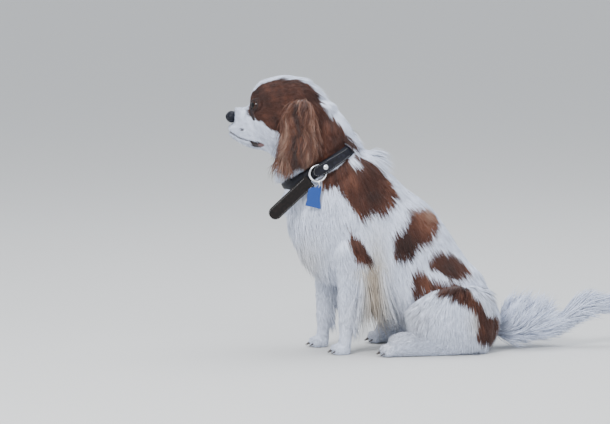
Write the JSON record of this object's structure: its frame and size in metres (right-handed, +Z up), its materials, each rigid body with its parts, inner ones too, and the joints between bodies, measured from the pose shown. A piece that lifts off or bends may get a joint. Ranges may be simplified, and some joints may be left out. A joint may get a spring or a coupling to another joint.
{
  "type": "cavalier king charles spaniel model",
  "caption": "Life-size still model of a sitting cavalier king charles spaniel, white with chestnut patches, long feathered ears and tail, leather collar and plain tag.",
  "frame": {"origin": "on the floor under the middle of the rump, between the folded hind legs", "axes": "+Z up, -X towards the nose, +X towards the tail, -Y towards the dog's left side"},
  "size_m": [0.6699, 0.2044, 0.4578],
  "materials": {
    "coat_white": "soft matt white coat",
    "coat_chestnut": "soft silky chestnut coat",
    "nose_leather": "damp pebbled black",
    "eye": "wet dark brown",
    "collar_leather": "black leather with pale stitching",
    "strap_leather": "dark brown worn leather",
    "collar_metal": "polished silver metal",
    "tag_enamel": "blue anodised, no text"
  },
  "bodies": {
    "root": {"head": "coat_white", "nose": "nose_leather", "eye_left": "eye", "eye_right": "eye", "ear_left": "coat_chestnut", "ear_right": "coat_chestnut", "neck": "coat_chestnut", "torso": "coat_white", "foreleg_left": "coat_white", "foreleg_right": "coat_white", "hindleg_left": "coat_white", "hindleg_right": "coat_white", "tail": "coat_white", "collar_band": "collar_leather", "collar_end": "collar_leather", "collar_strap": "strap_leather", "collar_keeper": "collar_leather", "collar_rivet": "collar_metal", "collar_ring": "collar_metal", "tag_ring": "collar_metal", "tag": "tag_enamel"}
  },
  "joints": []
}
